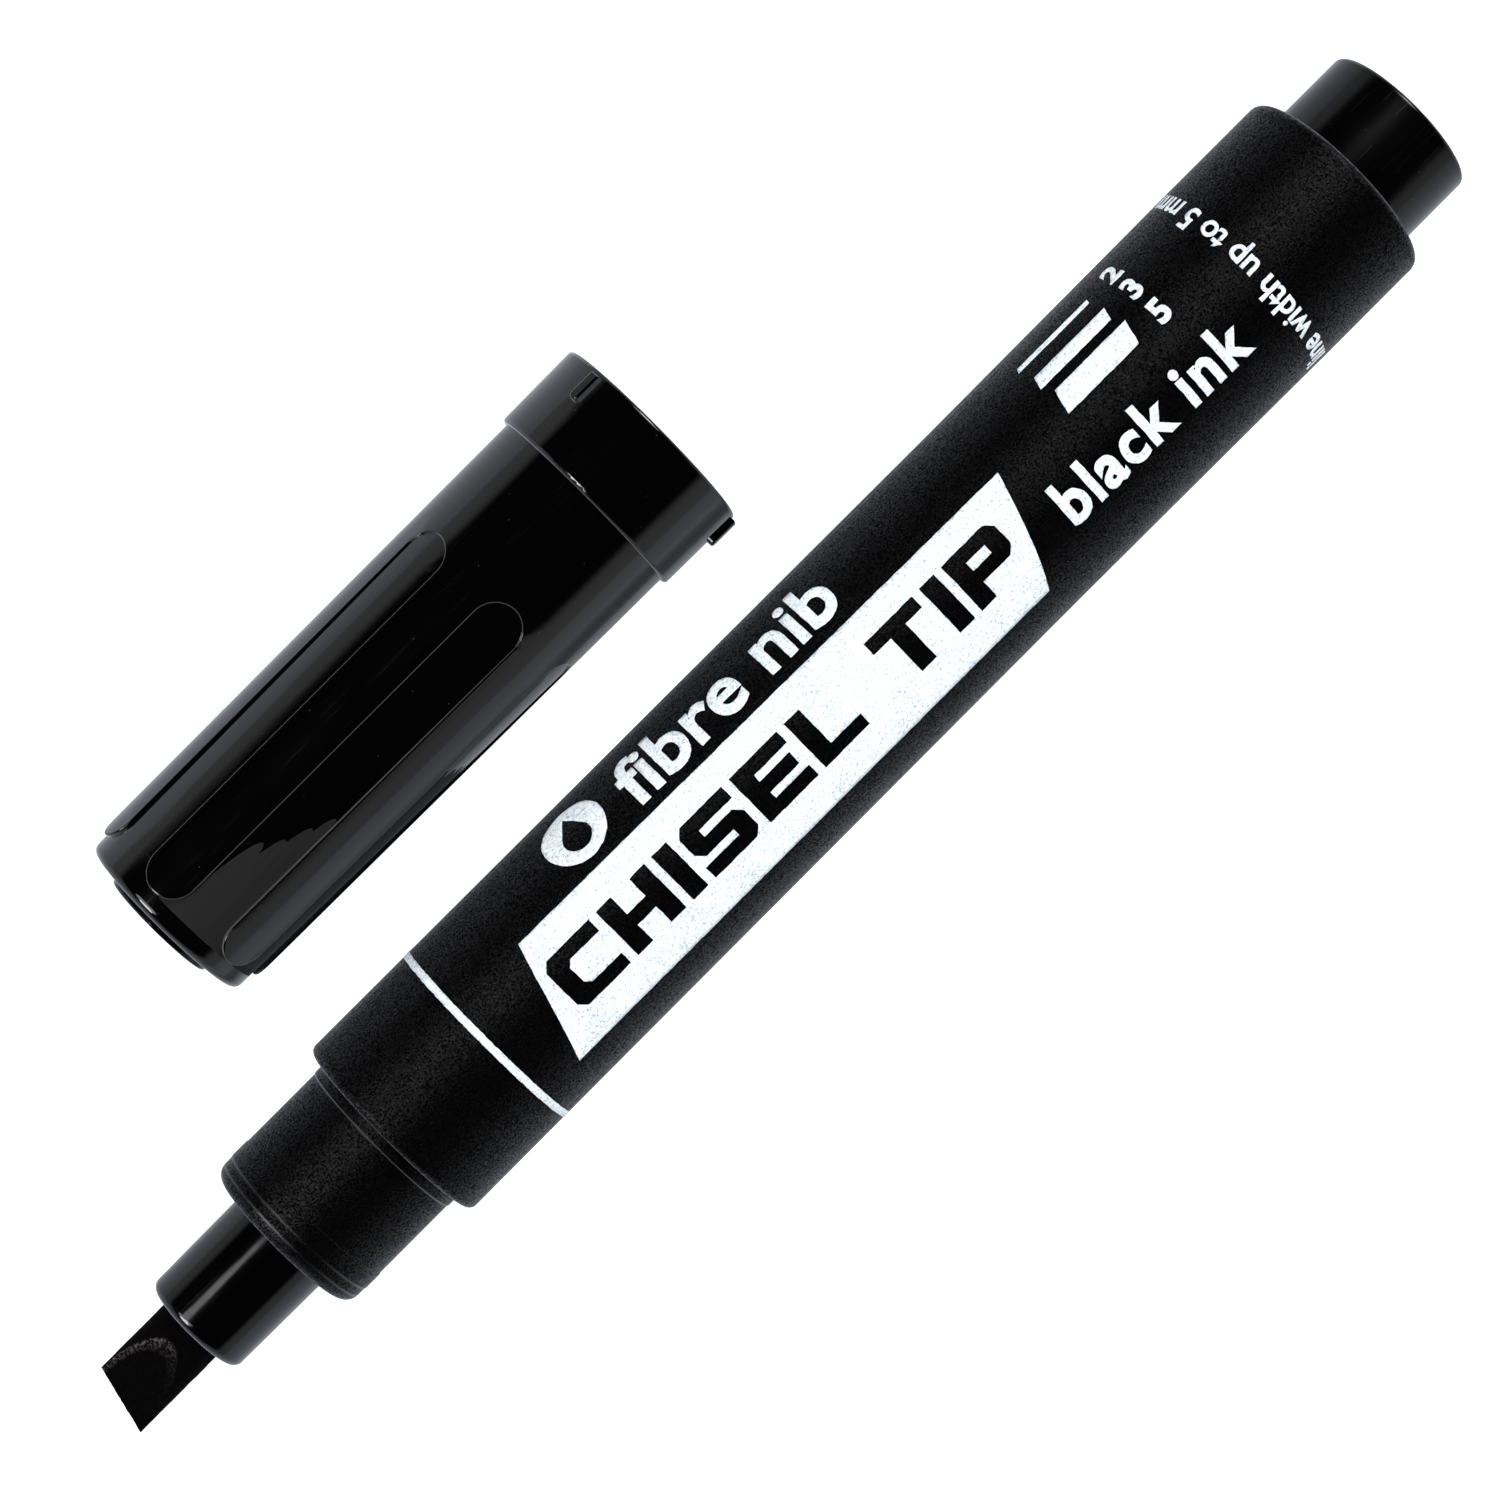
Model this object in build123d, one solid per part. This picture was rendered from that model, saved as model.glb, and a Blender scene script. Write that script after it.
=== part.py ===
from build123d import *
import math
import os

# A chisel-tip felt marker with its cap laid beside it, in millimetres.
# Both lie on z = 0 with their axes along X: the nib points to -X, the tail to +X,
# and the cap lies on the +Y side with its open end toward the tail.

# Lengths that show along the marker, from the tail to the nib
PLUG_HEAD_LENGTH = 5.76
BARREL_LENGTH = 85.14
NECK_LENGTH = 9.65
HOLDER_SHOWN = 7.8
NIB_SHOWN = 7.05

# Barrel: a long tube with a slight waist, and a neck in one piece with it
BARREL_TAIL_R = 7.22
BARREL_WAIST_R = 7.12
BARREL_FRONT_R = 7.16
TAIL_FLARE_LENGTH = 8.0
WAIST_FROM_TAIL = 30.0
TAIL_ROUNDING = 0.6
SHOULDER_ROUNDING = 0.5
BORE_R = 5.85
NECK_R = 5.9
NECK_COLLAR = 0.06          # the collar at the neck's root stands this much proud
NECK_COLLAR_LENGTH = 0.75
CLICK_BEAD = 0.05           # the bead that the cap clicks over
CLICK_BEAD_LENGTH = 1.3
CLICK_BEAD_FROM_FRONT = 1.55
NECK_LIP_ROUNDING = 0.9
NECK_BORE_R = 4.75
NECK_WALL = 1.2
RIB_COUNT = 6
RIB_WIDTH = 0.8

# Ink reservoir: a fibre rod in a film sleeve, between the barrel's shoulder and the plug
RESERVOIR_R = 4.88
FILM_THICKNESS = 0.2
FIT_GAP = 0.02              # radial gap between pieces that are pressed together
NIB_SOCKET_DEPTH = 8.0
RESERVOIR_SETBACK = 2.0     # from the barrel's shoulder back to the reservoir's front
HIDDEN_END_ROUNDING = 0.3   # on the ends that are inside the marker

# Nib and its holder
NIB_R = 2.35
CHISEL_ANGLE = 24.3         # each facet, from the nib's middle plane
CHISEL_SKEW = 13.8          # slant of the chisel edge across the nib
CHISEL_BLUNT = 0.24         # thickness of the chisel edge
HOLDER_ROOT_R = 3.77
HOLDER_TIP_R = 3.71
HOLDER_ROUNDING = 0.6
HOLDER_FLANGE_R = 4.7
HOLDER_FLANGE_LENGTH = 5.0
HOLDER_SLEEVE_R = 3.4
VENT_COUNT = 4
VENT_WIDTH = 0.6
VENT_DEPTH = 0.35

# Tail plug: a cup with its closed end outward
PLUG_HEAD_R = 5.6
PLUG_ROUNDING = 0.3
PLUG_WALL = 1.1
PLUG_SKIRT_LENGTH = 9.5

# Cap shell
CAP_LENGTH = 43.59
BAND_LENGTH = 6.2
BAND_RIM_R = 7.36
BAND_STEP_R = 7.28
BAND_ROUNDING = 0.25
CAP_ROOT_R = 6.9            # just past the band
GRIP_START = 13.5           # from the open end to where the grip pads are full
GRIP_START_R = 6.87
PAD_TIP = 42.25             # from the open end to the round tips of the pads
PAD_TIP_R = 6.71
GROOVE_TIP = 14.25          # from the open end to the round ends of the grooves
GROOVE_TIP_R = 6.72
CAP_END_R = 6.3
CAP_END_ROUNDING = 0.55
CAP_END_WALL = 1.2
PAD_COUNT = 6
PAD_TURN = 10.8             # the middle of the first pad, from the top toward +Y
PAD_EDGE_ROUNDING = 0.09
GROOVE_FOOT_ROUNDING = 0.05
RELIEF_INNER_R = 5.0        # the grip relief's cutting shapes reach from here
RELIEF_OUTER_R = 9.0        # to here, well clear of the cap on both sides
RELIEF_OVERSHOOT = 1.0
SAME = 0.02                 # lengths this near each other count as equal
CAP_BORE_R = 6.0
CAP_BORE_DEPTH = 10.4
CAP_BORE_TAPER = 0.5
CAP_INNER_R = 5.45
CAP_MOUTH_CHAMFER = 0.4

# Anti-roll lugs on the cap's band
LUG_TURNS = (37, 157, 277)
LUG_START = 0.35
LUG_LENGTH = 2.15
LUG_WIDTH = 0.76
LUG_TIP_R = 7.85
LUG_END_ROUNDING = 0.34
LUG_ROUNDING = 0.15

# Seal cup inside the cap, with a boss that shows through the cap's end
BOSS_R = 4.0
BOSS_HEIGHT = 0.55
BOSS_ROUNDING = 0.15
SEAL_FLANGE_R = 5.3
SEAL_FLANGE = 1.0
SEAL_OUTER_R = 4.75
SEAL_INNER_R = 3.9
SEAL_LIP_R = 3.82
SEAL_LIP_LENGTH = 2.0
SEAL_LIP_FLARE = 0.3
SEAL_LIP_FLARE_LENGTH = 0.6
SEAL_LIP_TAPER = 0.4
SEAL_MOUTH = 11.7           # from the cap's open end to the cup's mouth
SEAL_MOUTH_ROUNDING = 0.2
SEAL_FLOOR_ROUNDING = 0.6

# Where the cap lies at rest
AXIS_SPACING = 19.49
CAP_OPEN_X = 9.7

LENGTH = PLUG_HEAD_LENGTH + BARREL_LENGTH + NECK_LENGTH + HOLDER_SHOWN + NIB_SHOWN
TAIL_X = LENGTH / 2
BARREL_TAIL_X = TAIL_X - PLUG_HEAD_LENGTH
SHOULDER_X = BARREL_TAIL_X - BARREL_LENGTH
NECK_FRONT_X = SHOULDER_X - NECK_LENGTH
HOLDER_FRONT_X = NECK_FRONT_X - HOLDER_SHOWN
NIB_TIP_X = -TAIL_X
SKIRT_END_X = BARREL_TAIL_X - PLUG_SKIRT_LENGTH
RESERVOIR_FRONT_X = SHOULDER_X + RESERVOIR_SETBACK
WRAP_R = RESERVOIR_R + FIT_GAP + FILM_THICKNESS
MARKER_Y = (BARREL_TAIL_R - AXIS_SPACING - BAND_RIM_R) / 2
CAP_Y = MARKER_Y + AXIS_SPACING
MARKER_AXIS = Pos(0, MARKER_Y, BARREL_TAIL_R)
CAP_AXIS = Pos(0, CAP_Y, BAND_RIM_R)


def turned(*outline):
    """A solid turned about the X axis from (x, radius) or (x, radius, rounding) points."""
    points = [(point[0], point[1]) for point in outline]
    rounding = [point[2] if len(point) > 2 else 0 for point in outline]
    return revolve(make_face(FilletPolyline(*points, radius=rounding, close=True)), Axis.X)


def rod(x1, x2, radius):
    """A plain round rod on the X axis."""
    return turned((x1, 0), (x1, radius), (x2, radius), (x2, 0))


def upright(turn):
    """The place whose Z axis points outward at this many degrees from the top toward +Y."""
    return Rot(-turn, 0, 0)


def barrel():
    """The tube and neck, with ribs along the bore that hold the reservoir clear of the wall."""
    waist_x = BARREL_TAIL_X - WAIST_FROM_TAIL
    collar_x = SHOULDER_X - NECK_COLLAR_LENGTH
    bead_front_x = NECK_FRONT_X + CLICK_BEAD_FROM_FRONT
    bead_back_x = bead_front_x + CLICK_BEAD_LENGTH
    shell = turned(
        (BARREL_TAIL_X, 0),
        (BARREL_TAIL_X, BARREL_TAIL_R, TAIL_ROUNDING),
        (BARREL_TAIL_X - TAIL_FLARE_LENGTH, BARREL_TAIL_R),
        (waist_x, BARREL_WAIST_R),
        (SHOULDER_X, BARREL_FRONT_R, SHOULDER_ROUNDING),
        (SHOULDER_X, NECK_R + NECK_COLLAR),
        (collar_x, NECK_R + NECK_COLLAR),
        (collar_x - NECK_COLLAR, NECK_R),
        (bead_back_x, NECK_R),
        (bead_back_x - CLICK_BEAD, NECK_R + CLICK_BEAD),
        (bead_front_x, NECK_R + CLICK_BEAD),
        (bead_front_x, NECK_R),
        (NECK_FRONT_X, NECK_R, NECK_LIP_ROUNDING),
        (NECK_FRONT_X, 0),
    )
    shell -= rod(BARREL_TAIL_X, RESERVOIR_FRONT_X, BORE_R)
    shell -= rod(RESERVOIR_FRONT_X, NECK_FRONT_X + NECK_WALL, NECK_BORE_R)
    shell -= rod(NECK_FRONT_X + NECK_WALL, NECK_FRONT_X, HOLDER_ROOT_R + FIT_GAP)
    rib_length = SKIRT_END_X - RESERVOIR_FRONT_X
    rib_height = BORE_R - WRAP_R
    rib = Box(rib_length, RIB_WIDTH, rib_height, align=(Align.MIN, Align.CENTER, Align.MIN))
    for index in range(RIB_COUNT):
        place = upright(360 / RIB_COUNT * index) * Pos(RESERVOIR_FRONT_X, 0, WRAP_R + FIT_GAP)
        shell += place * rib
    return shell


def nib_holder():
    """The glossy tube round the nib, held by a flange behind the neck's end wall."""
    flange_x = NECK_FRONT_X + NECK_WALL
    sleeve_x = flange_x + HOLDER_FLANGE_LENGTH
    tube = turned(
        (HOLDER_FRONT_X, 0),
        (HOLDER_FRONT_X, HOLDER_TIP_R, HOLDER_ROUNDING),
        (NECK_FRONT_X, HOLDER_ROOT_R),
        (flange_x, HOLDER_ROOT_R),
        (flange_x, HOLDER_FLANGE_R),
        (sleeve_x, HOLDER_FLANGE_R, HIDDEN_END_ROUNDING),
        (sleeve_x, HOLDER_SLEEVE_R),
        (RESERVOIR_FRONT_X, HOLDER_SLEEVE_R, HIDDEN_END_ROUNDING),
        (RESERVOIR_FRONT_X, 0),
    )
    tube -= rod(HOLDER_FRONT_X, RESERVOIR_FRONT_X, NIB_R + FIT_GAP)
    vent_length = RESERVOIR_FRONT_X - flange_x
    vent = Box(vent_length, VENT_WIDTH, 2 * VENT_DEPTH, align=(Align.MIN, Align.CENTER, Align.CENTER))
    for index in range(VENT_COUNT):
        tube -= upright(360 / VENT_COUNT * index) * Pos(flange_x, 0, HOLDER_FLANGE_R) * vent
    return tube


def nib():
    """A round fibre rod, cut by two facets that meet in a slanted chisel edge."""
    rear_x = RESERVOIR_FRONT_X + NIB_SOCKET_DEPTH
    body = turned((rear_x, 0), (rear_x, NIB_R, HIDDEN_END_ROUNDING), (NIB_TIP_X, NIB_R), (NIB_TIP_X, 0))
    edge_lead = NIB_R * math.tan(math.radians(CHISEL_SKEW))
    reach = rear_x - NIB_TIP_X + 2 * NIB_R
    edge = CHISEL_BLUNT / 2
    spread = edge + reach * math.tan(math.radians(CHISEL_ANGLE))
    side = make_face(Polyline((0, -edge), (0, edge), (reach, spread), (reach, -spread), close=True))
    wedge = extrude(Plane.XZ * side, 4 * NIB_R, both=True)
    return body & (Pos(NIB_TIP_X + edge_lead, 0, 0) * Rot(0, 0, -CHISEL_SKEW) * wedge)


def reservoir_core():
    """The ink-soaked fibre rod, with a blind socket for the back of the nib."""
    core = rod(RESERVOIR_FRONT_X, SKIRT_END_X, RESERVOIR_R)
    return core - rod(RESERVOIR_FRONT_X, RESERVOIR_FRONT_X + NIB_SOCKET_DEPTH, NIB_R + FIT_GAP)


def reservoir_wrap():
    """The film sleeve round the fibre rod."""
    sleeve = rod(RESERVOIR_FRONT_X, SKIRT_END_X, WRAP_R)
    return sleeve - rod(RESERVOIR_FRONT_X, SKIRT_END_X, RESERVOIR_R + FIT_GAP)


def tail_plug():
    """A cup: the head shows behind the barrel, the skirt is pressed into the bore."""
    skirt_r = BORE_R - FIT_GAP
    cup = turned(
        (TAIL_X, 0),
        (TAIL_X, PLUG_HEAD_R, PLUG_ROUNDING),
        (BARREL_TAIL_X, PLUG_HEAD_R),
        (BARREL_TAIL_X, skirt_r),
        (SKIRT_END_X, skirt_r, HIDDEN_END_ROUNDING),
        (SKIRT_END_X, 0),
    )
    return cup - rod(SKIRT_END_X, TAIL_X - PLUG_WALL, PLUG_HEAD_R - PLUG_WALL)


def along_cap(distance):
    """The X of a point on the cap at this distance from its open end."""
    return CAP_OPEN_X - distance


def sector(x1, x2, turn, half_angle, reach):
    """A wedge with its edge on the X axis that spans half_angle each side of a turn."""
    half = reach * math.tan(math.radians(half_angle))
    profile = Plane.YZ * make_face(Polyline((0, 0), (half, reach), (-half, reach), close=True))
    return upright(turn) * Pos(x2, 0, 0) * extrude(profile, x1 - x2)


def spread_tip(x, turn, half_angle, inner_r, outer_r):
    """A cone that opens outward, whose sides are tangent to a sector of the same half angle."""
    slope = math.tan(math.radians(half_angle))
    middle_low = (Align.CENTER, Align.CENTER, Align.MIN)
    tip = Cone(inner_r * slope, outer_r * slope, outer_r - inner_r, align=middle_low)
    return upright(turn) * Pos(x, 0, inner_r) * tip


def pad_surface_r(x):
    """The radius of the raised pads at this X."""
    share = (CAP_OPEN_X - GRIP_START - x) / (PAD_TIP - GRIP_START)
    return GRIP_START_R + share * (PAD_TIP_R - GRIP_START_R)


def groove_floor_r(x):
    """The radius of the groove floors at this X."""
    share = (CAP_OPEN_X - GROOVE_TIP - x) / (CAP_LENGTH - GROOVE_TIP)
    return GROOVE_TIP_R + share * (CAP_END_R - GROOVE_TIP_R)


def relief_edges(solid, surface_r):
    """The edges of the grip relief that lie on one of its two surfaces."""
    low_x = along_cap(PAD_TIP + SAME)
    high_x = along_cap(GROOVE_TIP - SAME)
    edges = []
    for edge in solid.edges():
        middle = edge @ 0.5
        inside = low_x < edge.bounding_box().min.X and edge.bounding_box().max.X < high_x
        if inside and abs(math.hypot(middle.Y, middle.Z) - surface_r(middle.X)) < SAME:
            edges.append(edge)
    return edges


def grip_relief():
    """What the grip loses: round-ended grooves that run out into a ring round the closed end."""
    half = 360 / PAD_COUNT / 4
    pad_round_x = along_cap(PAD_TIP - PAD_TIP_R * math.tan(math.radians(half)))
    groove_round_x = along_cap(GROOVE_TIP + GROOVE_TIP_R * math.tan(math.radians(half)))
    end_x = along_cap(CAP_LENGTH)
    tool = rod(pad_round_x, end_x, RELIEF_OUTER_R)
    for index in range(PAD_COUNT):
        pad_turn = PAD_TURN + 360 / PAD_COUNT * index
        tool -= spread_tip(pad_round_x, pad_turn, half, RELIEF_INNER_R, RELIEF_OUTER_R + RELIEF_OVERSHOOT)
    for index in range(PAD_COUNT):
        groove_turn = PAD_TURN + 360 / PAD_COUNT * (index + 0.5)
        tool += sector(groove_round_x, pad_round_x, groove_turn, half, RELIEF_OUTER_R)
        tool += spread_tip(groove_round_x, groove_turn, half, RELIEF_INNER_R, RELIEF_OUTER_R)
    floor = turned(
        (along_cap(0), 0),
        (along_cap(0), GROOVE_TIP_R),
        (along_cap(GROOVE_TIP), GROOVE_TIP_R),
        (end_x, CAP_END_R, CAP_END_ROUNDING),
        (end_x, 0),
    )
    return tool - floor


def cap_shell():
    """The cap's outer shell: band with lugs, fluted grip, and a hole in its end for the boss."""
    band_x = along_cap(BAND_LENGTH)
    end_x = along_cap(CAP_LENGTH)
    shell = turned(
        (CAP_OPEN_X, 0),
        (CAP_OPEN_X, BAND_RIM_R, BAND_ROUNDING),
        (band_x, BAND_STEP_R, BAND_ROUNDING),
        (band_x, CAP_ROOT_R),
        (along_cap(GRIP_START), GRIP_START_R),
        (along_cap(PAD_TIP), PAD_TIP_R),
        (end_x, PAD_TIP_R),
        (end_x, 0),
    )
    shell -= grip_relief()
    shell = fillet(relief_edges(shell, pad_surface_r), PAD_EDGE_ROUNDING)
    shell = fillet(relief_edges(shell, groove_floor_r), GROOVE_FOOT_ROUNDING)
    lug_height = LUG_TIP_R - CAP_ROOT_R
    lug = Box(LUG_LENGTH, LUG_WIDTH, lug_height, align=(Align.MAX, Align.CENTER, Align.MAX))
    lug = fillet(lug.edges().filter_by(Axis.Z).group_by(Axis.X)[0], LUG_END_ROUNDING)
    lug = fillet(lug.edges().group_by(Axis.Z)[-1], LUG_ROUNDING)
    for turn in LUG_TURNS:
        shell += upright(turn) * Pos(along_cap(LUG_START), 0, LUG_TIP_R) * lug
    hollow = turned(
        (CAP_OPEN_X, 0),
        (CAP_OPEN_X, CAP_BORE_R + CAP_MOUTH_CHAMFER),
        (CAP_OPEN_X - CAP_MOUTH_CHAMFER, CAP_BORE_R),
        (along_cap(CAP_BORE_DEPTH), CAP_BORE_R),
        (along_cap(CAP_BORE_DEPTH + CAP_BORE_TAPER), CAP_INNER_R),
        (end_x + CAP_END_WALL, CAP_INNER_R),
        (end_x + CAP_END_WALL, 0),
    )
    return shell - hollow - rod(end_x, end_x + CAP_END_WALL, BOSS_R + FIT_GAP)


def cap_inner():
    """The seal cup: its lip closes round the nib holder, and its boss fills the cap's end hole."""
    end_x = along_cap(CAP_LENGTH)
    flange_x = end_x + CAP_END_WALL
    mouth_x = along_cap(SEAL_MOUTH)
    cup = turned(
        (end_x - BOSS_HEIGHT, 0),
        (end_x - BOSS_HEIGHT, BOSS_R, BOSS_ROUNDING),
        (flange_x, BOSS_R),
        (flange_x, SEAL_FLANGE_R),
        (flange_x + SEAL_FLANGE, SEAL_FLANGE_R),
        (flange_x + SEAL_FLANGE, SEAL_OUTER_R),
        (mouth_x, SEAL_OUTER_R, SEAL_MOUTH_ROUNDING),
        (mouth_x, 0),
    )
    hollow = turned(
        (mouth_x, 0),
        (mouth_x, SEAL_LIP_R + SEAL_LIP_FLARE),
        (mouth_x - SEAL_LIP_FLARE_LENGTH, SEAL_LIP_R),
        (mouth_x - SEAL_LIP_LENGTH, SEAL_LIP_R),
        (mouth_x - SEAL_LIP_LENGTH - SEAL_LIP_TAPER, SEAL_INNER_R),
        (flange_x, SEAL_INNER_R, SEAL_FLOOR_ROUNDING),
        (flange_x, 0),
    )
    return cup - hollow


NODES = {
    "barrel": MARKER_AXIS * barrel(),
    "nib_holder": MARKER_AXIS * nib_holder(),
    "nib": MARKER_AXIS * nib(),
    "reservoir_core": MARKER_AXIS * reservoir_core(),
    "reservoir_wrap": MARKER_AXIS * reservoir_wrap(),
    "tail_plug": MARKER_AXIS * tail_plug(),
    "cap_shell": CAP_AXIS * cap_shell(),
    "cap_inner": CAP_AXIS * cap_inner(),
}

os.makedirs("parts", exist_ok=True)
for name, solid in NODES.items():
    export_step(solid, f"parts/{name}.step")
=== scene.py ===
import bmesh
import bpy
import math
from mathutils import Matrix, Vector, noise


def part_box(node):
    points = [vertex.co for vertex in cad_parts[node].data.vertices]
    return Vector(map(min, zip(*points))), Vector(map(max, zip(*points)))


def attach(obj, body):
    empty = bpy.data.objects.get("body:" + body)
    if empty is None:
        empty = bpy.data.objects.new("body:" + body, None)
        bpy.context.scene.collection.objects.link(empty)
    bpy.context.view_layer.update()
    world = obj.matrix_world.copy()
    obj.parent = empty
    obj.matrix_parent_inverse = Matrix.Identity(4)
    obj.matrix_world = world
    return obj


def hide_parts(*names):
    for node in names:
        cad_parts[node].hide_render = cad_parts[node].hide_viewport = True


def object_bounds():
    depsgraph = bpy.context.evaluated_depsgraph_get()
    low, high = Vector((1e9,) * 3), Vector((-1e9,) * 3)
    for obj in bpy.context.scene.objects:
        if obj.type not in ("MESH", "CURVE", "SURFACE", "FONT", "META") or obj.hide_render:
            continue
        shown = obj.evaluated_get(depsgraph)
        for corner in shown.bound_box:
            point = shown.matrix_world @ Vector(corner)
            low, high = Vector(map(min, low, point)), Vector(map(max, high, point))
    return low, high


# The looks of a chisel-tip felt marker and the cap that lies beside it, in metres.
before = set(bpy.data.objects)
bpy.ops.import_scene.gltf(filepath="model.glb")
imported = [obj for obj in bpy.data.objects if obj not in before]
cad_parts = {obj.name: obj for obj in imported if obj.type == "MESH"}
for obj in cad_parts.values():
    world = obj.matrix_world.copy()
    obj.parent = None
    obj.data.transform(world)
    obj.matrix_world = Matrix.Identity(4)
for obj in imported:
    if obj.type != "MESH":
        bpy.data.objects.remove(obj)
cad_low, cad_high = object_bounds()

MM = 0.001
barrel_low, barrel_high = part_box("barrel")
nib_low, nib_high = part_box("nib")
cap_low, cap_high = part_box("cap_shell")

# The marker's axis, and the barrel's outline as (distance from its tail face, radius) in mm
AXIS_Y = (barrel_low.y + barrel_high.y) / 2
AXIS_Z = (barrel_low.z + barrel_high.z) / 2
TAIL_X = barrel_high.x
BARREL_OUTLINE = ((0, 7.22), (8, 7.22), (30, 7.12), (85.14, 7.16))
SHOULDER_X = TAIL_X - BARREL_OUTLINE[-1][0] * MM

# Edges on the neck that the cap rubs shiny: its collar, its click bead and the start of its lip
RUBBED_X = (SHOULDER_X - 0.78 * MM, SHOULDER_X - 8.1 * MM, SHOULDER_X - 8.8 * MM)
RUBBED_WIDTH = 0.14 * MM

# Printing, in mm: how thick the ink is, how fine its mesh is cut and how far its edges waver
INK_THICKNESS = 0.018
INK_LIFT = 0.022
INK_CELL = 0.4
INK_WAVER = 0.035
INK_WAVER_LENGTH = 0.33
INK_WELD = 0.004

# The waver comes from noise_vector, which takes its seed from the clock unless it is given one
noise.seed_set(7)

# The built-in font's capitals take this share of its size
CAPITAL_SHARE = 0.73

# The cap's hollow, in mm: inside this radius of its axis, and this far or more behind its end
CAP_HOLLOW_RADIUS = 6.35
CAP_END_DEPTH = 1.3

# The attribute that marks where the nib's facet was cut, where pale fibre and a painted highlight go, and
# how wide that edge is in mm
CUT_EDGE_AND_HIGHLIGHT = "cut_edge_and_highlight"
CUT_EDGE_DEPTH = 0.48

# A facet leans at least this far to the front, and a normal this close to the facet's is on it
FACET_LEAN = 0.3
FACET_MATCH = 0.94
FACET_FADE = 0.05

# The felt's fibres, in mm: the mesh they are pressed into, and the width and depth of strands and clumps.
# STRAND_STRETCH is how many times longer than wide a strand is.
FELT_VOXEL = 0.085
STRAND_WIDTH = 0.16
STRAND_STRETCH = 14
STRAND_DEPTH = 0.022
CLUMP_WIDTH = 0.5
CLUMP_DEPTH = 0.018
FELT_SETTLE = 0.02

# The strength of the floor's glow: FLOOR_WHITE to the camera, FLOOR_GLOW to everything else
FLOOR_GLOW = 0.31
FLOOR_WHITE = 1.0

# Half the floor's width in metres, and its gap below the object in mm
FLOOR_HALF = 2.5
FLOOR_GAP = 0.01

# How far the lights stand off, in metres
LIGHT_DISTANCE = 1.5

# The sockets of a mix node that carry colours
MIX_FIRST = 6
MIX_SECOND = 7
MIX_RESULT = 2


# ---------------------------------------------------------------- materials

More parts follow.
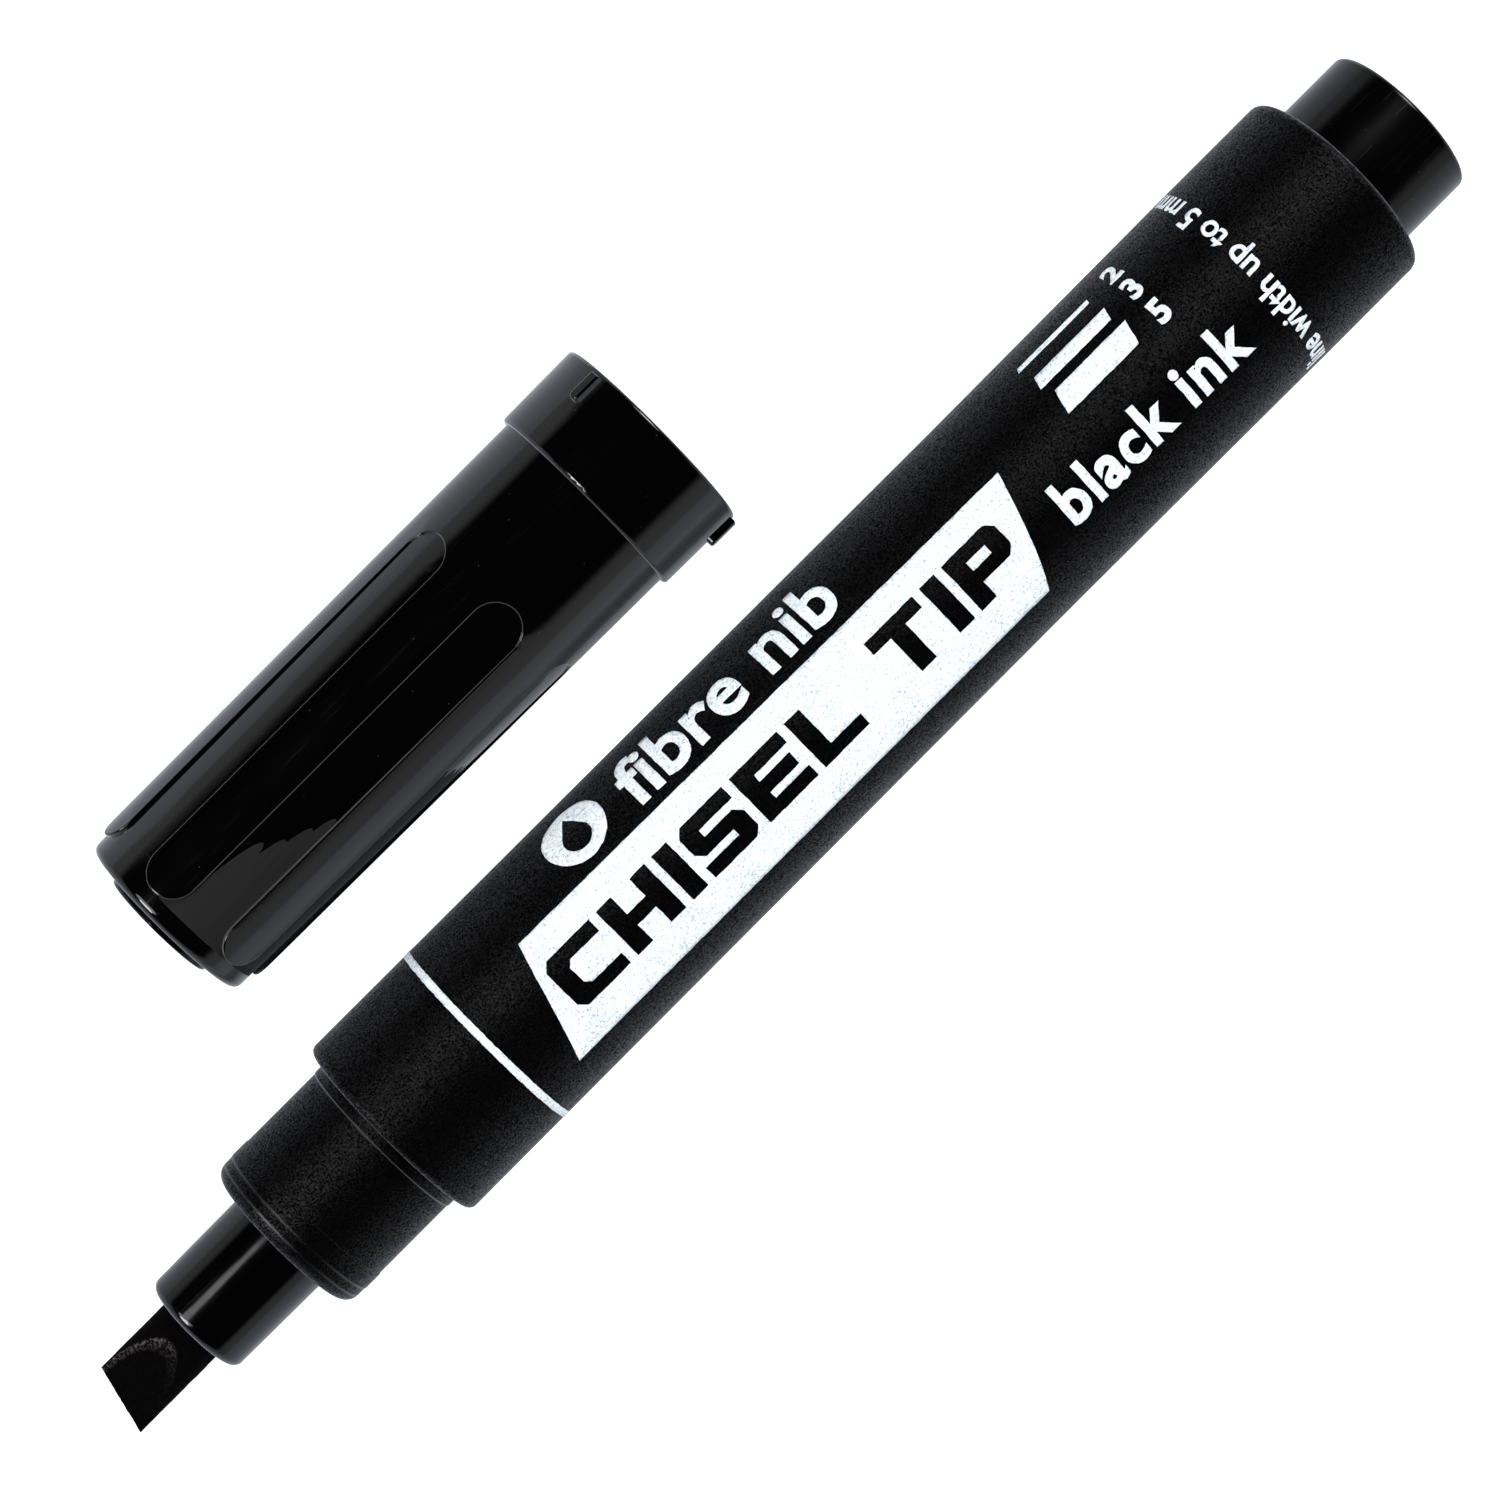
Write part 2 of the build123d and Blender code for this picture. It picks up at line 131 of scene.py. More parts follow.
class Surface:
    """A procedural material round one Principled shader, with its patterns in the row frame."""

    def __init__(self, name, color, roughness, **sockets):
        self.material = bpy.data.materials.new(name)
        self.material.use_nodes = True
        self.tree = self.material.node_tree
        self.shader = self.tree.nodes["Principled BSDF"]
        self.shader.inputs["Base Color"].default_value = (*color, 1)
        self.shader.inputs["Roughness"].default_value = roughness
        for socket, value in sockets.items():
            self.shader.inputs[socket.replace("_", " ")].default_value = value
        self.place = self.tree.nodes.new("ShaderNodeTexCoord").outputs["Object"]
        self.normal = None

    def node(self, kind, **values):
        made = self.tree.nodes.new(kind)
        for name, value in values.items():
            if name in made.inputs:
                self.feed(made.inputs[name], value)
            else:
                setattr(made, name, value)
        return made

    def feed(self, socket, value):
        if isinstance(value, bpy.types.NodeSocket):
            self.tree.links.new(value, socket)
        else:
            socket.default_value = value

    def stretched(self, along, across):
        """The row frame's coordinates, scaled along X and across it."""
        mapping = self.node("ShaderNodeMapping", Vector=self.place)
        mapping.inputs["Scale"].default_value = (along, across, across)
        return mapping.outputs["Vector"]

    def noise(self, size, detail=2, stretch=1, roughness=0.5):
        """Noise whose features are about size mm, and stretch times that along X."""
        scale = 1 / (size * MM)
        made = self.node("ShaderNodeTexNoise", Vector=self.stretched(scale / stretch, scale))
        made.inputs["Scale"].default_value = 1
        made.inputs["Detail"].default_value = detail
        made.inputs["Roughness"].default_value = roughness
        return made.outputs["Fac"]

    def cells(self, size):
        """The distance to the middle of the nearest of many cells of about size mm."""
        scale = 1 / (size * MM)
        made = self.node("ShaderNodeTexVoronoi", Vector=self.stretched(scale, scale))
        made.inputs["Scale"].default_value = 1
        return made.outputs["Distance"]

    def between(self, value, low, high, to_low=0.0, to_high=1.0, smooth=False):
        """The value moved from the range low..high to the range to_low..to_high, and held there."""
        made = self.node("ShaderNodeMapRange", Value=value)
        made.interpolation_type = "SMOOTHSTEP" if smooth else "LINEAR"
        for name, number in (("From Min", low), ("From Max", high), ("To Min", to_low), ("To Max", to_high)):
            made.inputs[name].default_value = number
        return made.outputs["Result"]

    def combine(self, operation, first, second=0.0):
        """One step of arithmetic on one or two values."""
        made = self.node("ShaderNodeMath", operation=operation)
        self.feed(made.inputs[0], first)
        self.feed(made.inputs[1], second)
        return made.outputs["Value"]

    def near_x(self, x, reach):
        """1 at this X, fading to 0 at reach on both sides."""
        parts = self.node("ShaderNodeSeparateXYZ", Vector=self.place)
        distance = self.combine("ABSOLUTE", self.combine("SUBTRACT", parts.outputs["X"], x))
        return self.between(distance, 0, reach, 1, 0, smooth=True)

    def in_cap(self):
        """1 on the walls of the cap's hollow and what is in it, and 0 outside the cap."""
        parts = self.node("ShaderNodeSeparateXYZ", Vector=self.place)
        across = self.combine("SUBTRACT", parts.outputs["Y"], (cap_low.y + cap_high.y) / 2)
        above = self.combine("SUBTRACT", parts.outputs["Z"], (cap_low.z + cap_high.z) / 2)
        across_square = self.combine("MULTIPLY", across, across)
        above_square = self.combine("MULTIPLY", above, above)
        radius = self.combine("SQRT", self.combine("ADD", across_square, above_square))
        narrow = self.combine("LESS_THAN", radius, CAP_HOLLOW_RADIUS * MM)
        deep = self.combine("GREATER_THAN", parts.outputs["X"], cap_low.x + CAP_END_DEPTH * MM)
        return self.combine("MULTIPLY", narrow, deep)

    def color(self, value, *stops):
        """Sets the base colour from a value by (position, colour) stops."""
        self.feed(self.shader.inputs["Base Color"], self.ramp(value, *stops))

    def ramp(self, value, *stops):
        ramp = self.node("ShaderNodeValToRGB", Fac=value)
        while len(ramp.color_ramp.elements) < len(stops):
            ramp.color_ramp.elements.new(0.5)
        for element, (position, shade) in zip(ramp.color_ramp.elements, stops):
            element.position = position
            element.color = (*shade, 1)
        return ramp.outputs["Color"]

    def roughness(self, value):
        self.feed(self.shader.inputs["Roughness"], value)

    def bump(self, height, depth, strength=1.0):
        """Adds relief of this depth in mm."""
        made = self.node("ShaderNodeBump", Height=height, Strength=strength, Distance=depth * MM)
        if self.normal is not None:
            self.feed(made.inputs["Normal"], self.normal)
        self.normal = made.outputs["Normal"]
        self.feed(self.shader.inputs["Normal"], self.normal)


def matte_barrel():
    """Spark-eroded black plastic: an even grain that glints, rubbed smoother where edges wear."""
    s = Surface("barrel_moulded", (0.0006, 0.0006, 0.0007), 0.38, IOR=1.5)
    s.color(s.noise(0.3, 3), (0.3, (0.0003, 0.0003, 0.0004)), (0.75, (0.0012, 0.0012, 0.0014)))
    glints = s.between(s.noise(0.13, 2, roughness=0.7), 0.42, 0.67, 0.004, 0.26)
    lines = s.near_x(RUBBED_X[0], RUBBED_WIDTH)
    for x in RUBBED_X[1:]:
        lines = s.combine("MAXIMUM", lines, s.near_x(x, RUBBED_WIDTH))
    shine = s.combine("MAXIMUM", glints, s.combine("MULTIPLY", lines, 0.55))
    s.feed(s.shader.inputs["Specular IOR Level"], shine)
    rub = s.combine("MAXIMUM", s.near_x(TAIL_X, 0.6 * MM), s.near_x(SHOULDER_X, 0.5 * MM))
    even = s.between(s.noise(2.5, 2), 0.3, 0.7, 0.24, 0.29)
    s.roughness(s.combine("SUBTRACT", even, s.combine("MULTIPLY", rub, 0.1)))
    s.bump(s.noise(0.14, 3, roughness=0.75), 0.04, 0.9)
    s.bump(s.noise(1.4, 2), 0.015, 0.5)
    return s.material


def gloss_moulding(name, roughness, waviness, scratches=0.1, grain=0.0, shine=0.5):
    """Polished black plastic with faint waves from moulding, fine scratches and a little dust.

    The cap's hollow is moulded on an unpolished core, so it is duller there.
    """
    s = Surface(name, (0.0006, 0.0006, 0.0007), roughness, IOR=1.5)
    hollow = s.in_cap()
    s.shader.inputs["Specular IOR Level"].default_value = shine
    dust = s.between(s.cells(1.1), 0.03, 0.055, 1, 0)
    s.color(dust, (0.0, (0.0006, 0.0006, 0.0007)), (1.0, (0.02, 0.02, 0.021)))
    lines = s.between(s.noise(0.12, 2, stretch=38), 0.62, 0.7)
    smears = s.between(s.noise(3.2, 3, stretch=2), 0.4, 0.75, 0, 0.05)
    wear = s.combine("ADD", smears, s.combine("MULTIPLY", lines, scratches))
    s.roughness(s.combine("ADD", wear, s.between(hollow, 0, 1, roughness, 0.85)))
    s.bump(s.noise(3.5, 1, stretch=3), waviness, 0.6)
    if grain:
        s.bump(s.noise(0.2, 2), grain, 0.8)
    return s.material


def felt(name, color, tip, cut):
    """Bonded fibre soaked in ink: strands along X, matte, with paler speckles at a cut edge, partly pale
    fibre and partly a painted highlight.
    """
    s = Surface(name, color, 0.85, IOR=1.3)
    s.shader.inputs["Specular IOR Level"].default_value = 0.06
    strands = s.noise(0.07, 3, stretch=14, roughness=0.6)
    ink = s.ramp(s.combine("MULTIPLY", strands, s.noise(0.3, 3)), (0.12, color), (0.5, tip))
    # The cut edge gets the cut colour: partly pale fibre, partly a painted highlight
    edge = s.node("ShaderNodeAttribute", attribute_name=CUT_EDGE_AND_HIGHLIGHT).outputs["Fac"]
    speckle = s.between(s.noise(0.2, 3, roughness=0.75), 0.46, 0.6)
    mixed = s.node("ShaderNodeMix", data_type="RGBA")
    s.feed(mixed.inputs[0], s.combine("MULTIPLY", edge, speckle))
    s.feed(mixed.inputs[MIX_FIRST], ink)
    s.feed(mixed.inputs[MIX_SECOND], (*cut, 1))
    s.feed(s.shader.inputs["Base Color"], mixed.outputs[MIX_RESULT])
    s.roughness(s.between(strands, 0.3, 0.7, 0.72, 0.95))
    s.bump(strands, 0.035, 0.9)
    s.bump(s.noise(0.14, 3, roughness=0.7), 0.03, 0.7)
    return s.material


def film():
    """The thin pale film round the fibre rod, with faint wrinkles along it."""
    s = Surface("film_sleeve", (0.75, 0.75, 0.76), 0.25, IOR=1.5)
    s.color(s.noise(1.5, 3, stretch=6), (0.3, (0.6, 0.6, 0.63)), (0.7, (0.78, 0.78, 0.79)))
    s.roughness(s.between(s.noise(0.8, 2, stretch=9), 0.3, 0.7, 0.2, 0.42))
    s.bump(s.noise(0.9, 2, stretch=14), 0.03, 0.6)
    return s.material


def screen_ink():
    """White screen-printed ink: slightly uneven cover over the grain, with bluish pinholes."""
    s = Surface("screen_ink", (0.85, 0.88, 0.93), 0.5, IOR=1.45)
    cover = s.combine("ADD", s.noise(0.17, 2, roughness=0.8), s.combine("MULTIPLY", s.noise(2.2, 2), 0.14))
    s.color(
        cover,
        (0.38, (0.26, 0.31, 0.40)),
        (0.50, (0.58, 0.65, 0.71)),
        (0.64, (0.78, 0.82, 0.84)),
    )
    s.roughness(s.between(s.noise(0.3, 2), 0.3, 0.7, 0.42, 0.62))
    s.bump(s.noise(0.16, 2, roughness=0.65), 0.02, 0.7)
    return s.material


def floor_paper():
    """Plain paper, lit from below like a light table: white to the camera, cool grey to all else."""
    s = Surface("floor_paper", (0.34, 0.34, 0.34), 0.7)
    s.shader.inputs["Specular IOR Level"].default_value = 0.1
    seen = s.node("ShaderNodeLightPath").outputs["Is Camera Ray"]
    glow = s.ramp(seen, (0.0, (0.84, 0.89, 1.0)), (1.0, (1, 1, 1)))
    s.feed(s.shader.inputs["Emission Color"], glow)
    s.feed(s.shader.inputs["Emission Strength"], s.between(seen, 0, 1, FLOOR_GLOW, FLOOR_WHITE))
    s.color(s.noise(40, 2), (0.3, (0.3, 0.315, 0.35)), (0.7, (0.33, 0.345, 0.38)))
    return s.material


# ---------------------------------------------------------------- printing

def flat_outlines(outlines):
    """A filled flat mesh from closed outlines: one inside another is a hole."""
    curve = bpy.data.curves.new("outline", "CURVE")
    curve.dimensions = "2D"
    curve.fill_mode = "BOTH"
    for outline in outlines:
        spline = curve.splines.new("POLY")
        spline.points.add(len(outline) - 1)
        for point, (x, y) in zip(spline.points, outline):
            point.co = (x, y, 0, 1)
        spline.use_cyclic_u = True
    return flat_mesh(curve)


def flat_words(words, height, weight=0.0, length=None, spacing=1.0):
    """A filled flat mesh of plain lettering, this tall in mm; length stretches it to fit."""
    curve = bpy.data.curves.new("words", "FONT")
    curve.body = words
    curve.size = height / CAPITAL_SHARE
    curve.offset = weight
    curve.space_character = spacing
    curve.resolution_u = 6
    mesh = flat_mesh(curve)
    xs = [vertex.co.x for vertex in mesh.vertices]
    if length:
        fit = length / (max(xs) - min(xs))
        for vertex in mesh.vertices:
            vertex.co.x = (vertex.co.x - min(xs)) * fit
    return mesh


def flat_mesh(curve):
    """The filled mesh of a curve or of lettering."""
    holder = bpy.data.objects.new(curve.name, curve)
    bpy.context.scene.collection.objects.link(holder)
    graph = bpy.context.evaluated_depsgraph_get()
    mesh = bpy.data.meshes.new_from_object(holder.evaluated_get(graph))
    bpy.data.objects.remove(holder)
    return mesh


def barrel_radius(x):
    """The barrel's radius at this X, in metres."""
    distance = (TAIL_X - x) / MM
    for (start, first), (end, second) in zip(BARREL_OUTLINE, BARREL_OUTLINE[1:]):
        if distance <= end:
            return (first + (second - first) * (distance - start) / (end - start)) * MM
    return BARREL_OUTLINE[-1][1] * MM


def on_barrel(x, arc):
    """The point on the printed surface at this X, this far round from the top toward +Y."""
    radius = barrel_radius(x)
    angle = arc / radius
    lifted = radius + (INK_LIFT - INK_THICKNESS) * MM
    return Vector((x, AXIS_Y + lifted * math.sin(angle), AXIS_Z + lifted * math.cos(angle)))


def waver(u, v):
    """How far a screen-printed edge strays at this place, in mm, from coarse and finer noise."""
    place = Vector((u, v, 0)) / INK_WAVER_LENGTH
    stray = noise.noise_vector(place) + 0.6 * noise.noise_vector(place * 2.3)
    return stray.x * INK_WAVER, stray.y * INK_WAVER


def print_on_barrel(name, flat, x, arc, around=False):
    """Wraps a flat print, in mm, on the barrel with its corner at x and arc (metres).

    It reads toward the tail with its top toward +Y, or around: toward +Y with its top to the nib.
    """
    shape = bmesh.new()
    shape.from_mesh(flat)
    for axis in (Vector((1, 0, 0)), Vector((0, 1, 0))):
        ends = [vertex.co.dot(axis) for vertex in shape.verts]
        for index in range(math.ceil(min(ends) / INK_CELL), math.ceil(max(ends) / INK_CELL)):
            everything = shape.verts[:] + shape.edges[:] + shape.faces[:]
            bmesh.ops.bisect_plane(shape, geom=everything, plane_co=axis * index * INK_CELL, plane_no=axis)
    bmesh.ops.remove_doubles(shape, verts=shape.verts[:], dist=INK_WELD)
    for vertex in shape.verts:
        u, v = vertex.co.x, vertex.co.y
        stray_u, stray_v = waver(u + x / MM, v + arc / MM)
        u = (u + stray_u) * MM
        v = (v + stray_v) * MM
        vertex.co = on_barrel(x - v, arc + u) if around else on_barrel(x + u, arc + v)
    mesh = bpy.data.meshes.new(name)
    shape.to_mesh(mesh)
    shape.free()
    finish_print(name, mesh)


def finish_print(name, mesh):
    """Makes a print from its mesh: a layer of ink that rides on the barrel."""
    mesh.shade_smooth()
    mesh.materials.append(INK)
    piece = bpy.data.objects.new(name, mesh)
    bpy.context.scene.collection.objects.link(piece)
    piece.visible_glossy = False
    ink = piece.modifiers.new("ink", "SOLIDIFY")
    ink.thickness = INK_THICKNESS * MM
    ink.offset = 1
    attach(piece, "barrel")


def print_ring(name, x, width, segments=240):
    """A printed line all the way round the barrel."""
    shape = bmesh.new()
    rows = []
    for index in range(segments):
        arc = 2 * math.pi * index / segments * barrel_radius(x)
        row = []
        for edge in (x - width / 2, x + width / 2):
            stray = waver(edge / MM, arc / MM)[0] * MM
            row.append(shape.verts.new(on_barrel(edge + stray, arc)))
        rows.append(row)
    for row, after in zip(rows, rows[1:] + rows[:1]):
        shape.faces.new((row[0], row[1], after[1], after[0]))
    bmesh.ops.recalc_face_normals(shape, faces=shape.faces[:])
    mesh = bpy.data.meshes.new(name)
    shape.to_mesh(mesh)
    shape.free()
    finish_print(name, mesh)


def block_letter(letter, width, height, stem, bar, cut):
    """The outlines of a heavy capital, in mm, with its lower left corner at the origin."""
    low = (height - bar) / 2
    high = (height + bar) / 2
    inner = cut * 0.7
    bowl = height * 0.34
    middle = width / 2
    outlines = {
        "C": [[(cut, 0), (width, 0), (width, bar), (stem + inner, bar), (stem, bar + inner),
               (stem, height - bar - inner), (stem + inner, height - bar), (width, height - bar),
               (width, height), (cut, height), (0, height - cut), (0, cut)]],
        "H": [[(0, 0), (stem, 0), (stem, low), (width - stem, low), (width - stem, 0), (width, 0),
               (width, height), (width - stem, height), (width - stem, high), (stem, high),
               (stem, height), (0, height)]],
        "I": [[(0, 0), (stem, 0), (stem, height), (0, height)]],
        "S": [[(0, 0), (width - cut, 0), (width, cut), (width, high - cut), (width - cut, high),
               (stem, high), (stem, height - bar), (width, height - bar), (width, height),
               (cut, height), (0, height - cut), (0, low + cut), (cut, low), (width - stem, low),
               (width - stem, bar), (0, bar)]],
        "E": [[(0, 0), (width, 0), (width, bar), (stem, bar), (stem, low), (width * 0.92, low),
               (width * 0.92, high), (stem, high), (stem, height - bar), (width, height - bar),
               (width, height), (0, height)]],
        "L": [[(0, 0), (width, 0), (width, bar), (stem, bar), (stem, height), (0, height)]],
        "T": [[(middle - stem / 2, 0), (middle + stem / 2, 0), (middle + stem / 2, height - bar),
               (width, height - bar), (width, height), (0, height), (0, height - bar),
               (middle - stem / 2, height - bar)]],
        "P": [[(0, 0), (stem, 0), (stem, bowl), (width - cut, bowl), (width, bowl + cut),
               (width, height - cut), (width - cut, height), (0, height)],
              [(stem, bowl + bar), (width - stem, bowl + bar), (width - stem, height - bar),
               (stem, height - bar)]],
    }
    return outlines[letter]


def block_words(words, height, stem, bar, cut, wide, gap):
    """The outlines of a line of heavy capitals from x = 0, and its length."""
    outlines = []
    at = 0
    narrower = {" ": wide * 0.45, "I": stem, "L": wide * 0.92}
    for letter in words:
        width = narrower.get(letter, wide)
        if letter != " ":
            for outline in block_letter(letter, width, height, stem, bar, cut):
                outlines.append([(at + x, y) for x, y in outline])
        at += width + gap
    return outlines, at - gap


def panel():
    """The white panel with slanted ends; its capitals are left clear, so the barrel shows."""
    corners = [(-21.45, -5.85), (19.93, -5.9), (22.65, 2.25), (-18.95, 2.6)]
    words, length = block_words("CHISEL TIP", height=3.87, stem=1.3, bar=0.95, cut=0.55, wide=4.2, gap=0.62)
    start = sum(x for x, y in corners) / len(corners) - length / 2
    base = -3.3
    clear = [[(start + x, y + base) for x, y in outline] for outline in words]
    print_on_barrel("print_panel", flat_outlines([corners] + clear), 0, 0)


def circle(x, y, radius, count=48):
    """A round outline."""
    turns = [2 * math.pi * index / count for index in range(count)]
    return [(x + radius * math.cos(turn), y + radius * math.sin(turn)) for turn in turns]


def drop(x, y, radius, height, count=24):
    """A drop shape: a circle whose top runs up into a point."""
    lean = math.acos(radius / height)
    turns = [math.pi / 2 + lean + (2 * math.pi - 2 * lean) * index / (count - 1) for index in range(count)]
    bowl = [(x + radius * math.cos(turn), y + radius * math.sin(turn)) for turn in turns]
    return [(x, y + height)] + bowl


def small_prints():
    """The plain prints round the panel: a disc with a drop, and lines about the ink and the nib."""
    disc = flat_outlines([circle(0, 0, 2.36), drop(0, -0.5, 1.05, 2.1)])
    print_on_barrel("print_drop", disc, -11.71 * MM, 5.63 * MM)
    words = flat_words("fibre nib", height=4.1, weight=0.13, length=18.0)
    print_on_barrel("print_nib_words", words, -7.8 * MM, 3.4 * MM)
    words = flat_words("black ink", height=3.15, weight=0.13, length=15.86, spacing=1.1)
    print_on_barrel("print_ink_words", words, 23.8 * MM, -3.73 * MM)
    words = flat_words("line width up to 5 mm", height=1.67, weight=0.05, length=19.5)
    print_on_barrel("print_round_words", words, 43.37 * MM, -9.5 * MM, around=True)
    line_strokes()
    print_ring("print_ring", -24.6 * MM, 0.5 * MM)


def line_strokes():
    """Three slanted strokes of falling thickness, each with the digit of its line width in mm."""
    low = 1.5
    length = 6.2
    for number, thick in ((5, 1.75), (3, 1.05), (2, 0.45)):
        lean = thick * 0.3
        stroke = [(0, 0), (length, 0), (length + lean, thick), (lean, thick)]
        print_on_barrel(f"print_stroke_{number}", flat_outlines([stroke]), 28.3 * MM, (low + 0.2) * MM)
        digit = flat_words(str(number), height=1.7, weight=0.09)
        print_on_barrel(f"print_digit_{number}", digit, 36.3 * MM, low * MM)
        low += max(thick, 1.6) + 0.75


# ---------------------------------------------------------------- nib

def evenly_meshed(source, name):
    """A copy of a mesh, cut into even cells with its sharp edges softened."""
    shape = bmesh.new()
    shape.from_mesh(source)
    bmesh.ops.remove_doubles(shape, verts=shape.verts[:], dist=0.002 * MM)
    mesh = bpy.data.meshes.new(name)
    shape.to_mesh(mesh)
    shape.free()
    piece = bpy.data.objects.new(name, mesh)
    bpy.context.scene.collection.objects.link(piece)
    even = piece.modifiers.new("even", "REMESH")
    even.mode = "VOXEL"
    even.voxel_size = FELT_VOXEL * MM
    graph = bpy.context.evaluated_depsgraph_get()
    fine = bpy.data.meshes.new_from_object(piece.evaluated_get(graph))
    piece.modifiers.clear()
    piece.data = fine
    fine.name = name
    return piece


def mark_cut_edge(fine, source):
    """Marks where the upper facet meets the rod's round side, for its pale speckles and painted highlight,
    most of all toward +Y, where the lamps stand.
    """
    facets = [polygon.normal * polygon.area for polygon in source.polygons if polygon.normal.x < -FACET_LEAN]
    upper = sum((facet for facet in facets if facet.z > 0), Vector()).normalized()
    edge = fine.attributes.new(CUT_EDGE_AND_HIGHLIGHT, "FLOAT", "POINT")
    radius = (nib_high.y - nib_low.y) / 2
    for index, vertex in enumerate(fine.vertices):
        place = vertex.co
        depth = (radius - math.hypot(place.y - AXIS_Y, place.z - AXIS_Z)) / MM
        on_facet = min(1, max(0, (vertex.normal.dot(upper) - FACET_MATCH) / FACET_FADE))
        near_edge = max(0, 1 - depth / CUT_EDGE_DEPTH)
        # Stronger toward +Y, the side the lamps stand on: painted highlight
        toward_lit_side = 0.5 + 0.5 * math.tanh((place.y - AXIS_Y) / MM)
        edge.data[index].value = on_facet * near_edge * toward_lit_side


def press_strands(fine):
    """Presses strands along X and coarser clumps into the felt."""
    normals = [vertex.normal.copy() for vertex in fine.vertices]
    for vertex, normal in zip(fine.vertices, normals):
        strands = Vector((vertex.co.x / STRAND_STRETCH, vertex.co.y, vertex.co.z)) / (STRAND_WIDTH * MM)
        clumps = vertex.co / (CLUMP_WIDTH * MM)
        height = noise.noise(strands) * STRAND_DEPTH + noise.noise(clumps) * CLUMP_DEPTH - FELT_SETTLE
        vertex.co += normal * height * MM


def fibre_nib():
    """The nib as bonded fibre: the CAD shape with softened edges and strands pressed into it."""
    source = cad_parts["nib"].data
    piece = evenly_meshed(source, "nib_felt")
    fine = piece.data
    mark_cut_edge(fine, source)
    press_strands(fine)
    fine.shade_smooth()
    fine.materials.clear()
    fine.materials.append(FELT)
    piece.visible_glossy = False
    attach(piece, "barrel")
    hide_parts("nib")


# ---------------------------------------------------------------- stage

def soft_light(name, direction, spread_deg, radiance, mirrored=True):
    """A round soft light that shows this bright, and this far across its radius, from the marker."""
    direction = Vector(direction).normalized()
    radius = LIGHT_DISTANCE * math.tan(math.radians(spread_deg))
    light = bpy.data.lights.new(name, "AREA")
    light.shape = "DISK"
    light.size = 2 * radius
    light.energy = radiance * math.pi * math.pi * radius ** 2
    holder = bpy.data.objects.new(name, light)
    bpy.context.scene.collection.objects.link(holder)
    holder.location = Vector((0, 0, AXIS_Z)) + direction * LIGHT_DISTANCE
    holder.rotation_mode = "QUATERNION"
    holder.rotation_quaternion = direction.to_track_quat("Z", "Y")
    holder.visible_camera = False
    holder.visible_glossy = mirrored


def studio():
    """A dark room with pale low walls, which the camera itself sees as plain white."""
    world = bpy.data.worlds.new("studio")
    bpy.context.scene.world = world
    world.use_nodes = True
    tree = world.node_tree
    back = tree.nodes["Background"]
    place = tree.nodes.new("ShaderNodeTexCoord")
    parts = tree.nodes.new("ShaderNodeSeparateXYZ")
    walls = tree.nodes.new("ShaderNodeMapRange")
    walls.interpolation_type = "SMOOTHSTEP"
    for name, number in (("From Min", 0.22), ("From Max", 0.42), ("To Min", 0.55), ("To Max", 0.002)):
        walls.inputs[name].default_value = number
    seen = tree.nodes.new("ShaderNodeLightPath")
    mix = tree.nodes.new("ShaderNodeMix")
    mix.inputs["B"].default_value = 1.0
    tree.links.new(place.outputs["Generated"], parts.inputs["Vector"])
    tree.links.new(parts.outputs["Z"], walls.inputs["Value"])
    tree.links.new(seen.outputs["Is Camera Ray"], mix.inputs["Factor"])
    tree.links.new(walls.outputs["Result"], mix.inputs["A"])
    tree.links.new(mix.outputs["Result"], back.inputs["Strength"])
    back.inputs["Color"].default_value = (1, 1, 1, 1)


def floor():
    """A wide plain sheet just below the object."""
    half = FLOOR_HALF
    mesh = bpy.data.meshes.new("floor")
    corners = [(-half, -half, 0), (half, -half, 0), (half, half, 0), (-half, half, 0)]
    mesh.from_pydata(corners, [], [(0, 1, 2, 3)])
    mesh.materials.append(floor_paper())
    sheet = bpy.data.objects.new("floor", mesh)
    bpy.context.scene.collection.objects.link(sheet)
    sheet.location.z = cad_low.z - FLOOR_GAP * MM


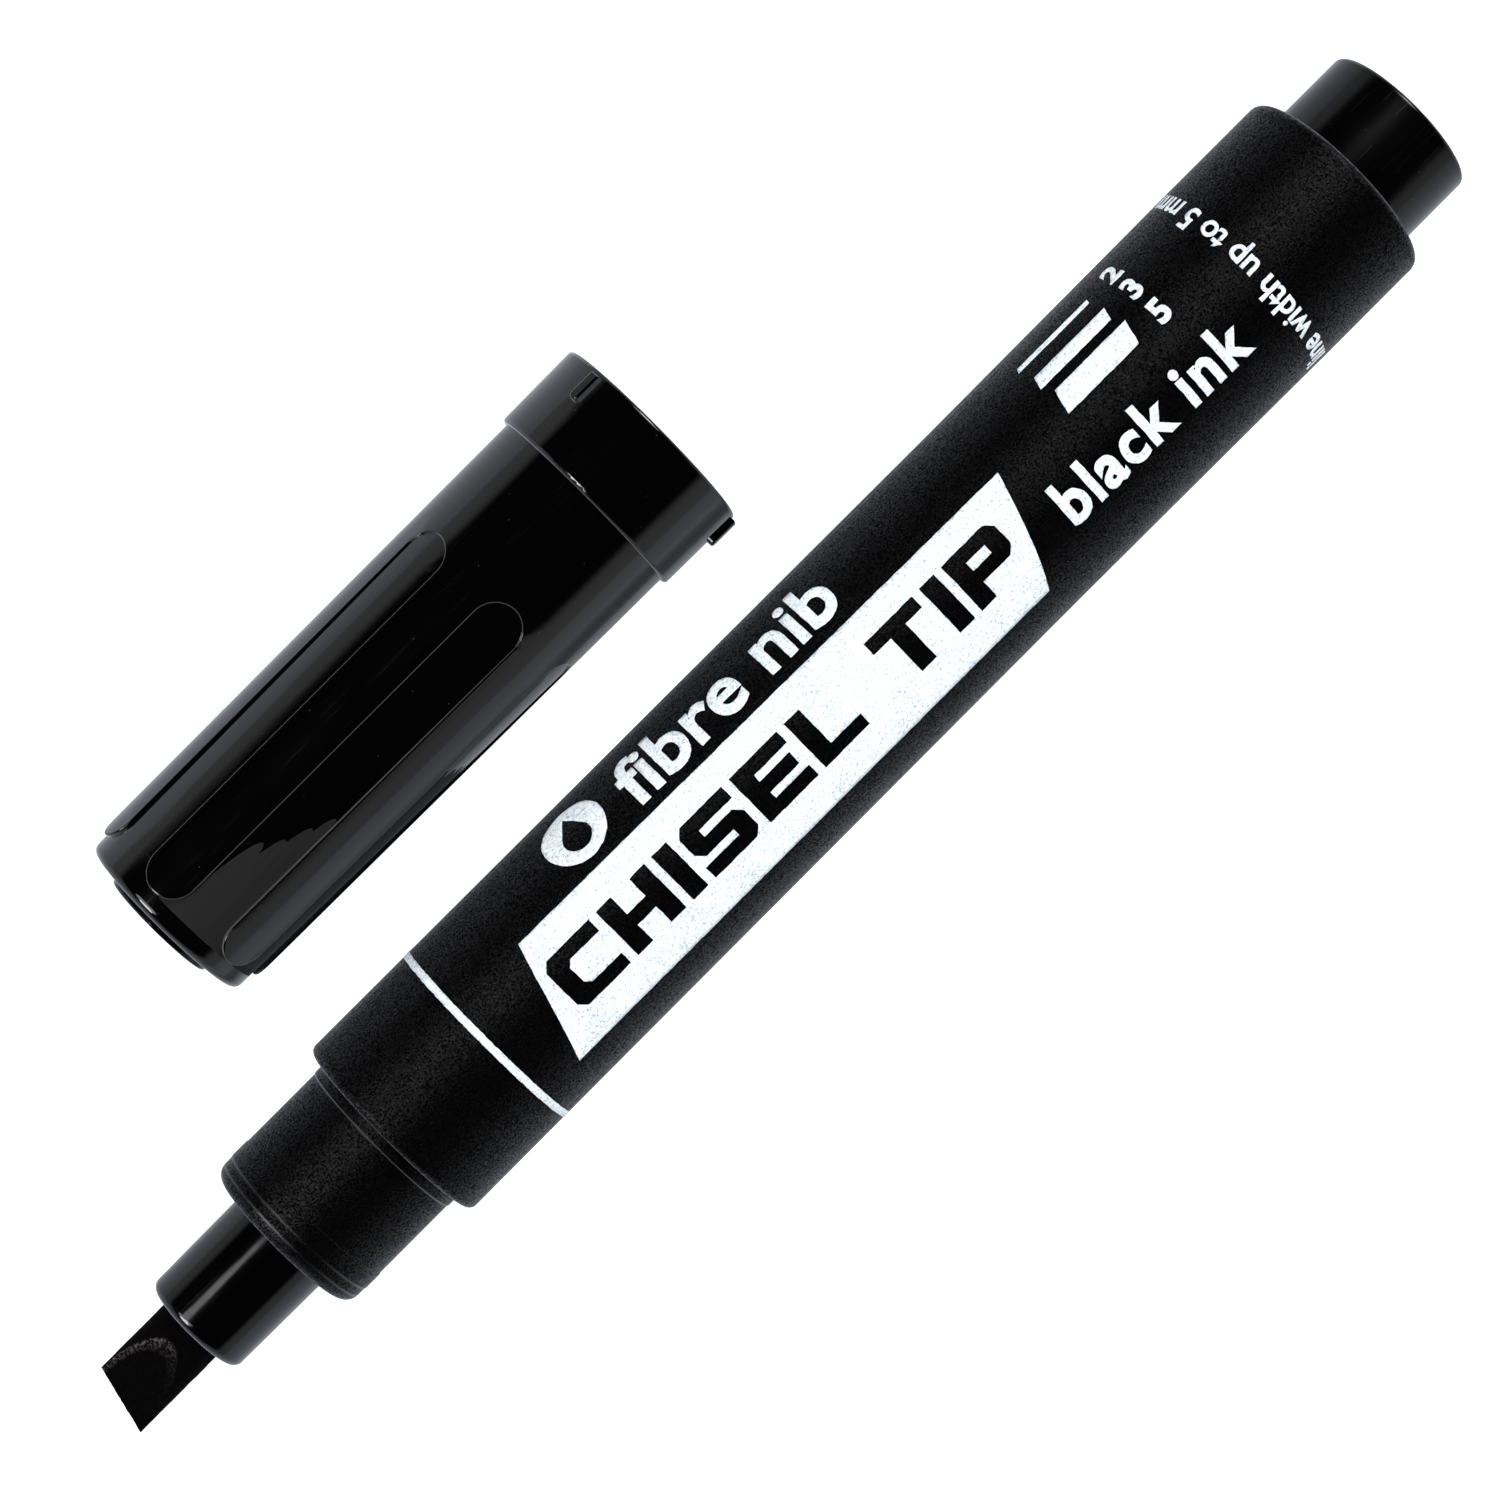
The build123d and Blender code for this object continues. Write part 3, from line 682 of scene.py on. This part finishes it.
def camera():
    """From above, with the nib to the lower left; slide shifts it sideways without turning it."""
    aim = Vector((0.33, -8.89, 7.2)) * MM
    place = Vector((-8.72, -9.34, 264.2)) * MM
    slide = Vector((-0.48, 0, 0)) * MM
    up = Vector((0.7073, 0.7069, 0))
    lens = bpy.data.cameras.new("camera")
    lens.sensor_width = 36
    lens.lens = 97.3
    lens.clip_start = 0.01
    view = bpy.data.objects.new("camera", lens)
    bpy.context.scene.collection.objects.link(view)
    back = (place - aim).normalized()
    right = up.cross(back).normalized()
    turn = Matrix((right, back.cross(right), back)).transposed()
    view.matrix_world = Matrix.Translation(place + slide) @ turn.to_4x4()
    bpy.context.scene.camera = view


camera()
floor()
studio()
soft_light("light_front", (-0.44, 0.36, 0.82), spread_deg=16, radiance=4)
soft_light("light_back", (0.6, 0.19, 0.78), spread_deg=16, radiance=5)
soft_light("light_front_edge", (-0.66, 0.32, 0.68), spread_deg=10, radiance=16)
soft_light("light_back_edge", (0.74, 0.16, 0.65), spread_deg=8, radiance=16)
soft_light("light_fill", (0.0, -0.62, 0.78), spread_deg=30, radiance=2.8, mirrored=False)
bpy.context.scene.view_settings.view_transform = "Standard"

INK = screen_ink()
FELT = felt(
    "nib_felt",
    color=(0.0002, 0.0002, 0.0003),
    tip=(0.0016, 0.0014, 0.0016),
    # The cut colour is partly pale fibre and partly a painted highlight
    cut=(0.085, 0.077, 0.075),
)
FELT_INSIDE = felt(
    "reservoir_felt",
    color=(0.012, 0.011, 0.013),
    tip=(0.05, 0.048, 0.055),
    cut=(0.05, 0.048, 0.055),
)
finishes = {
    "barrel": matte_barrel(),
    "nib_holder": gloss_moulding("holder_polished", roughness=0.08, waviness=0.005, shine=0.42),
    "nib": FELT,
    "reservoir_core": FELT_INSIDE,
    "reservoir_wrap": film(),
    "tail_plug": gloss_moulding(
        "plug_semigloss", roughness=0.14, waviness=0.012, scratches=0.15, grain=0.003, shine=0.3
    ),
    "cap_shell": gloss_moulding("cap_polished", roughness=0.07, waviness=0.004),
    "cap_inner": gloss_moulding("seal_polished", roughness=0.12, waviness=0.01, shine=0.2),
}
for node, finish in finishes.items():
    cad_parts[node].data.materials[0] = finish

panel()
small_prints()
fibre_nib()

# No piece of the object shows in any mirror reflection, its own included
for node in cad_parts.values():
    node.visible_glossy = False
